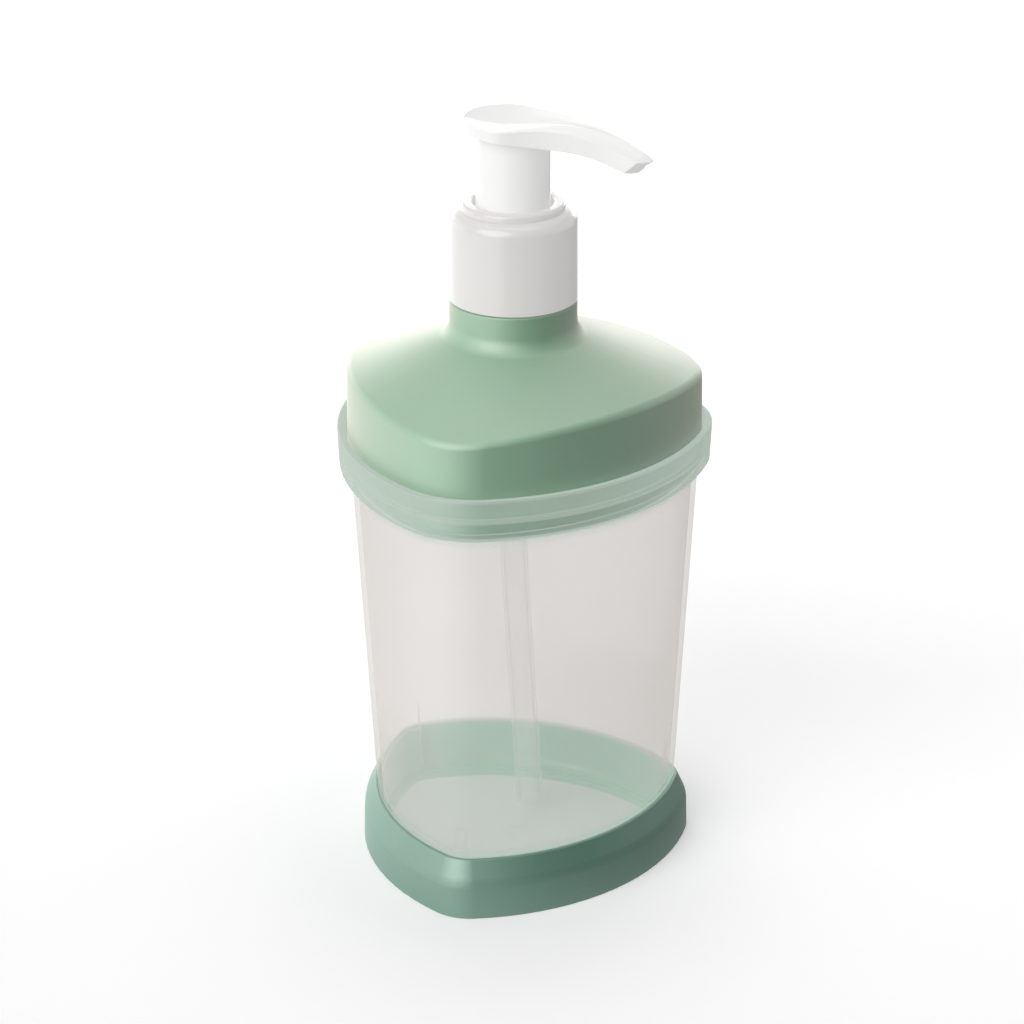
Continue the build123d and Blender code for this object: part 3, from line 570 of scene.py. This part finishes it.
def coneHeight(radius, drop=0):
    return lid["crease"] + lid["slope"] * (lid["creaseReach"] - radius) - drop


def coneLoop(mesh, grow, drop=0):
    # Outline whose points lie on the lid's cone
    loop = outlineLoop(mesh, rimPlan, 0, grow)
    for point in loopPoints(loop):
        point.co.z = coneHeight(math.hypot(point.co.x, point.co.y), drop)
    return loop


def makeLid():
    wall, mouth, shoulder = lid["wall"], lid["mouth"], lid["shoulder"]
    skirtOut = -bottle["wall"] - lid["skirtGap"]
    skirtIn = skirtOut - lid["skirtWall"]
    mesh = bmesh.new()
    side = outlineLoop(mesh, rimPlan, lid["foot"], -lid["inset"])
    crease = coneLoop(mesh, -lid["creaseInset"])
    joinLoops(mesh, [side, crease])
    loops = [crease]
    for radius, height in (
            (lid["neck"], coneHeight(lid["neck"])), (lid["neck"], shoulder), (lid["finish"], shoulder),
            (lid["finish"], mouth), (lid["bore"], mouth), (lid["bore"], shoulder - wall),
            (lid["neck"] - wall, shoulder - wall),
            (lid["neck"] - wall, coneHeight(lid["neck"] - wall, wall))):
        loops.append(drawIn(mesh, loops[-1], radius, height))
    joinLoops(mesh, [
        loops[-1], coneLoop(mesh, -lid["creaseInset"] - wall, wall),
        outlineLoop(mesh, rimPlan, lid["foot"] + wall, -lid["inset"] - wall),
        outlineLoop(mesh, bottle["shoulderPlan"], lid["foot"] + wall, skirtIn),
        outlineLoop(mesh, bottle["shoulderPlan"], lid["skirtFoot"], skirtIn),
        outlineLoop(mesh, bottle["shoulderPlan"], lid["skirtFoot"], skirtOut),
        outlineLoop(mesh, bottle["shoulderPlan"], lid["foot"], skirtOut), side])
    roundOff(mesh, crease, lid["creaseRound"], lid["creaseSteps"])
    roundOff(mesh, loops[1], lid["neckRound"], lid["creaseSteps"])
    for loop in (loops[2], loops[4], loops[5], side):
        roundOff(mesh, loop, lid["edge"])
    screwThread(mesh, lid["finish"], lid["threadHeight"], lid["threadFoot"])
    finishPiece("lidShell", mesh, lidPlastic, "lid", ("lid",))


closure = {
    "radius": 16.0, "foot": 150.3, "top": 173.1, "draft": 0.15, "shoulderRound": 3.0, "hole": 11.4,
    "ceiling": 171.5, "bore": 14.1, "edge": 0.35, "threadFoot": 157.2, "threadHeight": 0.45, "roundSteps": 10,
}


def makeClosure():
    mesh = bmesh.new()
    turnedPiece(mesh, [
        (closure["radius"], closure["foot"], closure["edge"]),
        (closure["radius"] - closure["draft"], closure["top"], closure["shoulderRound"]),
        (closure["hole"], closure["top"], closure["edge"]),
        (closure["hole"], closure["ceiling"], 0),
        (closure["bore"], closure["ceiling"], 0),
        (closure["bore"], closure["foot"], closure["edge"]),
    ], segments=closure["roundSteps"])
    screwThread(mesh, closure["bore"], -closure["threadHeight"], closure["threadFoot"])
    finishPiece("closureCap", mesh, closurePlastic, "closure", ("pump_closure",))


lockRing = {
    "bead": 13.0, "beadFoot": 173.2, "beadTop": 175.0, "beadRound": 0.85, "mouth": 10.15, "mouthRound": 0.4,
    "well": 9.5, "wellOut": 10.2, "wellFoot": 157.4, "wellFloor": 158.6, "guide": 4.2, "guideOut": 5.3,
    "guideFoot": 153.7, "step": 172.55, "edge": 0.2, "roundSteps": 6,
}


def makeLockRing():
    mesh = bmesh.new()
    turnedPiece(mesh, [
        (lockRing["well"], lockRing["wellFloor"], lockRing["edge"]),
        (lockRing["guide"], lockRing["wellFloor"], lockRing["edge"]),
        (lockRing["guide"], lockRing["guideFoot"], 0),
        (lockRing["guideOut"], lockRing["guideFoot"], 0),
        (lockRing["guideOut"], lockRing["wellFoot"], lockRing["edge"]),
        (lockRing["wellOut"], lockRing["wellFoot"], 0),
        (lockRing["wellOut"], lockRing["beadFoot"], 0),
        (lockRing["bead"], lockRing["beadFoot"], 0),
        (lockRing["bead"], lockRing["beadTop"], lockRing["beadRound"]),
        (lockRing["mouth"], lockRing["beadTop"], lockRing["mouthRound"]),
        (lockRing["mouth"], lockRing["beadFoot"], lockRing["edge"]),
        (lockRing["well"], lockRing["step"], lockRing["edge"]),
    ], segments=lockRing["roundSteps"])
    finishPiece("lockRingBead", mesh, closurePlastic, "pump", ("lock_ring",))


spring = {
    "foot": 118.1, "top": 140.1, "radius": 4.2, "wire": 0.9, "turns": 7, "endTurns": 1, "wireSides": 12,
    "turnSteps": 40, "pressed": 0.41,
}


def makeSpring():
    # Closed turns at each end, where wire lies on wire, and open turns between them
    mesh = bmesh.new()
    low = spring["foot"] + spring["wire"] / 2
    openTurns = spring["turns"] - 2 * spring["endTurns"]
    closedHeight = (2 * spring["endTurns"] + 1) * spring["wire"]
    pitch = (spring["top"] - spring["foot"] - closedHeight) / openTurns
    stand = Matrix.Translation((spring["radius"], 0, low)) @ Matrix.Rotation(math.radians(90), 4, "X")
    bmesh.ops.create_circle(mesh, segments=spring["wireSides"], radius=spring["wire"] / 2, matrix=stand)
    first = mesh.edges[:]
    ring = mesh.verts[:] + first
    closed = (spring["endTurns"], spring["wire"])
    for turns, rise in (closed, (openTurns, pitch), closed):
        steps = round(turns * spring["turnSteps"])
        ring = bmesh.ops.spin(mesh, geom=ring, cent=(0, 0, 0), axis=(0, 0, 1), angle=math.tau * turns,
                              dvec=(0, 0, rise / spring["turnSteps"]), steps=steps)["geom_last"]
    closeEnds(mesh, first, ring)
    piece = finishPiece("returnSpring", mesh, springSteel, "pump", ("pump_spring",))
    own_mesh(piece)


head = {
    "padRadius": 12.4, "padAngles": (180, 166, 152, 137, 121, 105), "backLow": 193.4, "sideLow": 192.55,
    "rimInset": 0.55, "rimRise": 0.12, "rimSide": 0.35, "rimBulge": 1.02, "rimDrop": 0.03,
    "dishLow": 194.45, "dishMiddle": 3.0, "dishSpan": 139.4, "dishLip": 0.06,
    # A point in the dish keeps the first share of its reach, and more of it towards the rim
    "dishReach": (0.82, 0.18), "dishShares": (0.7, 0.35, 0),
    # Reach along the spout, half width, shoulder, lower edge, crest's offset, crest height, valley depth
    "spout": (
        (0.0, 12.4, 195.35, 192.55, 11.85, 195.6, 1.15),
        (3.0, 11.0, 195.4, 192.05, 9.7, 195.85, 1.35),
        (6.0, 9.3, 195.5, 191.45, 7.8, 196.1, 1.5),
        (9.0, 8.15, 195.6, 191.0, 6.2, 196.35, 1.5),
        (12.0, 7.15, 195.4, 190.7, 4.7, 196.45, 1.35),
        (15.0, 6.45, 195.05, 190.4, 3.4, 196.4, 1.1),
        (18.0, 5.85, 194.45, 189.95, 2.25, 196.05, 0.8),
        (21.0, 5.3, 193.65, 189.2, 1.4, 195.4, 0.5),
        (24.0, 4.8, 192.65, 188.2, 0.85, 194.5, 0.3),
        (27.0, 4.5, 191.45, 187.0, 0.6, 193.35, 0.15),
        (30.0, 4.35, 190.1, 185.75, 0.45, 192.0, 0.1),
        (32.8, 4.35, 188.95, 184.75, 0.35, 190.55, 0.05)),
    # The beak's raked mouth: the same, with the lower edge's own reach at the end
    "beak": (
        (33.6, 3.3, 188.75, 185.7, 0.3, 190.05, 0.03, 30.0),
        (34.4, 2.2, 188.55, 185.4, 0.25, 189.55, 0.02, 30.7),
        (35.15, 1.1, 188.45, 185.15, 0.2, 189.05, 0.01, 31.4),
        (35.7, 0.0, 188.4, 184.95, 0.0, 188.62, 0.0, 31.9)),
    # From the shoulder up to the crest: share of the way out, share of the fall
    "flank": ((0.5, 0.72), (0.12, 0.12)),
    # From the crest down to the middle: share of the crest's offset, share of the valley's depth
    "valley": ((0.9, 0.12), (0.7, 0.62), (0.35, 0.92), (0, 1)),
    "mouthFoot": (29.3, 186.0), "edgeCrease": 0.85, "shoulderCrease": 0.6, "mouthCrease": 0.8, "levels": 3,
    "seam": 0.01,
    "skirt": 9.2, "skirtWall": 1.0, "skirtFoot": 172.1, "skirtTop": 192.05, "ceiling": 190.45, "sleeve": 5.2,
    "sleeveBore": 3.9, "sleeveFoot": 179.85, "edge": 0.3,
    "channel": 1.15, "channelHeight": 192.5, "channelStart": 12.0, "channelBend": 48.0, "channelTurn": 36,
    "channelSides": 32, "channelSteps": 24,
}


def dishHeight(x, y):
    return head["dishLow"] + ((x - head["dishMiddle"]) ** 2 + y**2) / head["dishSpan"]


def padRib(angle):
    # From under the pad, out round its rim and back over the thumb dish
    out = polar(head["padRadius"], angle)
    rim = polar(head["padRadius"] - head["rimInset"], angle)
    inner = polar(head["padRadius"] - 2 * head["rimInset"], angle)
    low = head["sideLow"] + (head["backLow"] - head["sideLow"]) * abs(math.cos(math.radians(angle)))
    top = dishHeight(rim.x, rim.y) + head["rimRise"]
    bulge = head["rimBulge"]
    nearest, spread = head["dishReach"]
    points = [Vector((rim.x / 2, 0, low)), Vector((out.x, out.y, low)),
              Vector((out.x, out.y, (low + top) / 2)), Vector((out.x, out.y, top - head["rimSide"])),
              Vector((rim.x * bulge, rim.y * bulge, top - head["rimDrop"])), Vector((rim.x, rim.y, top)),
              Vector((inner.x, inner.y, dishHeight(inner.x, inner.y) + head["dishLip"]))]
    for share in head["dishShares"]:
        x, y = inner.x * (nearest + spread * share), inner.y * share
        points.append(Vector((x, y, dishHeight(x, y))))
    return points


def spoutRib(row):
    # The same rib across the spout: lower edge, flank, crest and valley
    reach, half, shoulder, low, crest, top, depth, *lowerLip = row
    lowReach = lowerLip[0] if lowerLip else reach
    if row is head["spout"][-1]:
        lowReach, low = head["mouthFoot"]
    points = [Vector((lowReach, 0, low)), Vector((lowReach, half, low)),
              Vector(((reach + lowReach) / 2, half, (shoulder + low) / 2)), Vector((reach, half, shoulder))]
    for across, down in head["flank"]:
        points.append(Vector((reach, crest + (half - crest) * across, top - (top - shoulder) * down)))
    for across, down in head["valley"]:
        points.append(Vector((reach, crest * across, top - depth * down)))
    return points


def channelCore():
    # The liquid's way through the spout: straight from the skirt, then bent down with the spout
    mesh = bmesh.new()
    stand = Matrix.Translation((0, 0, head["channelHeight"])) @ Matrix.Rotation(math.radians(90), 4, "Y")
    bmesh.ops.create_circle(mesh, segments=head["channelSides"], radius=head["channel"], matrix=stand)
    first = mesh.edges[:]
    points, edges = extrudeLoop(mesh, first)
    bmesh.ops.translate(mesh, verts=points, vec=(head["channelStart"], 0, 0))
    last = bmesh.ops.spin(mesh, geom=points + edges, axis=(0, 1, 0), steps=head["channelSteps"],
                          cent=(head["channelStart"], 0, head["channelHeight"] - head["channelBend"]),
                          angle=math.radians(head["channelTurn"]))["geom_last"]
    closeEnds(mesh, first, last)
    return mesh


def makeHead():
    mesh = bmesh.new()
    rung = mesh.verts.layers.int.new("rung")
    station = mesh.verts.layers.int.new("station")
    ribs = [padRib(angle) for angle in head["padAngles"]]
    ribs += [spoutRib(row) for row in head["spout"] + head["beak"]]
    mouthStation = len(ribs) - len(head["beak"]) - 1
    chains = []
    for number, points in enumerate(ribs):
        made = [mesh.verts.new(point) for point in points]
        for place, vert in enumerate(made):
            vert[rung] = place
            vert[station] = number
        chains.append([mesh.edges.new(pair) for pair in zip(made, made[1:])])
    for one, two in zip(chains, chains[1:]):
        bmesh.ops.bridge_loops(mesh, edges=one + two)
    bmesh.ops.mirror(mesh, geom=mesh.verts[:] + mesh.edges[:] + mesh.faces[:], axis="Y",
                     merge_dist=head["seam"])
    bmesh.ops.remove_doubles(mesh, verts=mesh.verts, dist=head["seam"])
    crease = mesh.edges.layers.float.new("crease_edge")
    lowerEdge, flank, shoulder = 1, 2, 3      # a rib's points, counted from the one under the middle
    for edge in mesh.edges:
        rungs = {end[rung] for end in edge.verts}
        if rungs == {lowerEdge}:
            edge[crease] = head["edgeCrease"]
        elif rungs == {shoulder}:
            edge[crease] = head["shoulderCrease"]
        elif {end[station] for end in edge.verts} == {mouthStation} and rungs <= {lowerEdge, flank, shoulder}:
            edge[crease] = head["mouthCrease"]
    finishPiece("pumpHead", joined(mesh, channelCore(), "DIFFERENCE", head["levels"]), headPlastic, "plunger",
                ("pump_head",))


def makeHeadSkirt():
    mesh = bmesh.new()
    bore = head["skirt"] - head["skirtWall"]
    turnedPiece(mesh, [
        (head["skirt"], head["skirtFoot"], head["edge"]),
        (head["skirt"], head["skirtTop"], 0),
        (head["sleeveBore"], head["skirtTop"], 0),
        (head["sleeveBore"], head["sleeveFoot"], head["edge"]),
        (head["sleeve"], head["sleeveFoot"], head["edge"]),
        (head["sleeve"], head["ceiling"], head["edge"]),
        (bore, head["ceiling"], head["edge"]),
        (bore, head["skirtFoot"], head["edge"]),
    ])
    finishPiece("headSkirt", mesh, headPlastic, "plunger", ())


makeBottle()
makeFootRing()
makeLid()
makeClosure()
makeLockRing()
makeSpring()
makeHead()
makeHeadSkirt()
# Turned and drawn parts whose solids are right keep them, in their own plastic, foam or steel
cadFinishes = {
    "pump_housing": tubePlastic, "dip_tube": tubePlastic, "pump_piston": tubePlastic,
    "stem_plug": closurePlastic, "pump_stem": closurePlastic, "neck_gasket": foam,
    "inlet_ball": ballSteel, "outlet_ball": ballSteel,
}
for node, material in cadFinishes.items():
    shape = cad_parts[node].data
    shape.materials.clear()
    shape.materials.append(material)
print("pieces made")


studio = {
    "keyAzimuth": 252, "keyElevation": 30, "keyStrength": 2.6, "keySoftness": 55,
    # Place and size in metres, power in watts
    "softboxes": {
        "rear": ((-0.4, 1.0, 0.27), (1.5, 0.38), 9.0), "left": ((-0.95, 0.2, 0.3), (0.9, 0.6), 1.6),
        "right": ((0.85, 0.55, 0.35), (1.1, 0.7), 1.8), "top": ((0.0, 0.2, 1.1), (1.0, 1.0), 4.0)},
    "target": (0, 0, 0.1), "skyStrength": 0.16,
    "brightSide": (-0.8, 0.2, 0.5), "sideSpread": 0.6, "darkest": 0.02, "brightest": 0.75,
    "glossLeft": 1.8, "glossRight": 0.03, "glossHalf": 0.09, "floorSize": 8,
    "floorColour": "#D6D6D6", "floorLift": 0.3, "farLift": 0.55, "liftStart": 0.2, "liftEnd": 1.0,
}
scene = bpy.context.scene
scene.view_settings.view_transform = "Standard"


def makeFloor():
    # Matt paper; a lift that only the camera and clear surfaces see whitens it with distance, and gloss
    # sees it bright on the left and dark on the right
    material, tree = newMaterial("paperMattSweep")
    matt = addNode(tree, "ShaderNodeBsdfDiffuse", values={"Color": paint(studio["floorColour"])})
    place = addNode(tree, "ShaderNodeTexCoord")
    far = addNode(tree, "ShaderNodeVectorMath", operation="LENGTH", links={0: place.outputs["Object"]})
    spread = addNode(tree, "ShaderNodeMapRange", links={"Value": far.outputs["Value"]},
                     values={"From Min": studio["liftStart"], "From Max": studio["liftEnd"],
                             "To Min": studio["floorLift"], "To Max": studio["farLift"]})
    white = addNode(tree, "ShaderNodeEmission", links={"Strength": spread.outputs[0]})
    path = addNode(tree, "ShaderNodeLightPath")
    straight = addNode(tree, "ShaderNodeMath", operation="MAXIMUM",
                       links={0: path.outputs["Is Camera Ray"], 1: path.outputs["Is Transmission Ray"]})
    lift = addNode(tree, "ShaderNodeMixShader", links={0: straight.outputs[0], 2: white.outputs[0]})
    both = addNode(tree, "ShaderNodeAddShader", links={0: matt.outputs[0], 1: lift.outputs[0]})
    across = addNode(tree, "ShaderNodeSeparateXYZ", links={"Vector": place.outputs["Object"]})
    lit = addNode(tree, "ShaderNodeMapRange", links={"Value": across.outputs["X"]},
                  values={"From Min": -studio["glossHalf"], "From Max": studio["glossHalf"],
                          "To Min": studio["glossLeft"], "To Max": studio["glossRight"]})
    mirrored = addNode(tree, "ShaderNodeEmission", links={"Strength": lit.outputs[0]})
    gloss = addNode(tree, "ShaderNodeMath", operation="GREATER_THAN",
                    links={0: path.outputs["Is Glossy Ray"], 1: path.outputs["Is Transmission Ray"]})
    paper = addNode(tree, "ShaderNodeMixShader",
                    links={0: gloss.outputs[0], 1: both.outputs[0], 2: mirrored.outputs[0]})
    addNode(tree, "ShaderNodeOutputMaterial", links={"Surface": paper.outputs[0]})
    bpy.ops.mesh.primitive_plane_add(size=studio["floorSize"])
    floor = bpy.context.object
    floor.name = "paperFloor"
    floor.data.materials.append(material)


def aim(lamp, place, target):
    scene.collection.objects.link(lamp)
    lamp.location = place
    lamp.rotation_euler = (Vector(target) - Vector(place)).to_track_quat("-Z", "Y").to_euler()


def makeSoftbox(name, place, size, power):
    data = bpy.data.lights.new(name, "AREA")
    data.shape = "RECTANGLE"
    data.size, data.size_y = size
    data.energy = power
    aim(bpy.data.objects.new(name, data), place, studio["target"])


def makeKey():
    # A large soft source in front on the left
    data = bpy.data.lights.new("keyLight", "SUN")
    data.energy = studio["keyStrength"]
    data.angle = math.radians(studio["keySoftness"])
    up = math.radians(studio["keyElevation"])
    place = polar(math.cos(up), studio["keyAzimuth"], math.sin(up))
    aim(bpy.data.objects.new("keyLight", data), place, (0, 0, 0))


def makeWorld():
    # Dim to the object and white to the camera; gloss sees white walls on one side, greyer ones opposite
    world = bpy.data.worlds.new("studio")
    scene.world = world
    world.use_nodes = True
    tree = world.node_tree
    tree.nodes.clear()
    place = addNode(tree, "ShaderNodeTexCoord")
    side = addNode(tree, "ShaderNodeVectorMath", operation="DOT_PRODUCT",
                   links={0: place.outputs["Generated"]}, values={1: studio["brightSide"]})
    walls = addNode(tree, "ShaderNodeMapRange", links={"Value": side.outputs["Value"]},
                    values={"From Min": -studio["sideSpread"], "From Max": studio["sideSpread"],
                            "To Min": studio["darkest"], "To Max": studio["brightest"]})
    plain = paint("#FFFFFF")
    sky = addNode(tree, "ShaderNodeBackground", values={"Color": plain, "Strength": studio["skyStrength"]})
    room = addNode(tree, "ShaderNodeBackground", links={"Strength": walls.outputs[0]},
                   values={"Color": plain})
    white = addNode(tree, "ShaderNodeBackground", values={"Color": plain, "Strength": 1})
    path = addNode(tree, "ShaderNodeLightPath")
    seen = addNode(tree, "ShaderNodeMath", operation="MAXIMUM",
                   links={0: path.outputs["Is Camera Ray"], 1: path.outputs["Is Transmission Ray"]})
    glossy = addNode(tree, "ShaderNodeMixShader",
                     links={0: path.outputs["Is Glossy Ray"], 1: sky.outputs[0], 2: room.outputs[0]})
    mix = addNode(tree, "ShaderNodeMixShader",
                  links={0: seen.outputs[0], 1: glossy.outputs[0], 2: white.outputs[0]})
    addNode(tree, "ShaderNodeOutputWorld", links={"Surface": mix.outputs[0]})


# Place in metres and the directions that the camera calls right, up and forward
view = {
    "place": (0.260069, -0.746466, 0.432755), "right": (0.944836, 0.32754, -0.0016),
    "up": (-0.127706, 0.372875, 0.919051), "forward": (-0.301623, 0.868148, -0.394135),
    "lens": 120.07, "sensor": 36, "near": 0.05,
}


def makeCamera():
    data = bpy.data.cameras.new("camera")
    data.lens = view["lens"]
    data.sensor_width = view["sensor"]
    data.clip_start = view["near"]
    camera = bpy.data.objects.new("camera", data)
    scene.collection.objects.link(camera)
    axes = Matrix((view["right"], view["up"], -Vector(view["forward"]))).transposed()
    camera.matrix_world = Matrix.Translation(view["place"]) @ axes.to_4x4()
    scene.camera = camera


makeFloor()
makeWorld()
makeKey()
for side, (place, size, power) in studio["softboxes"].items():
    makeSoftbox(side + "Softbox", place, size, power)
makeCamera()
print("studio made")
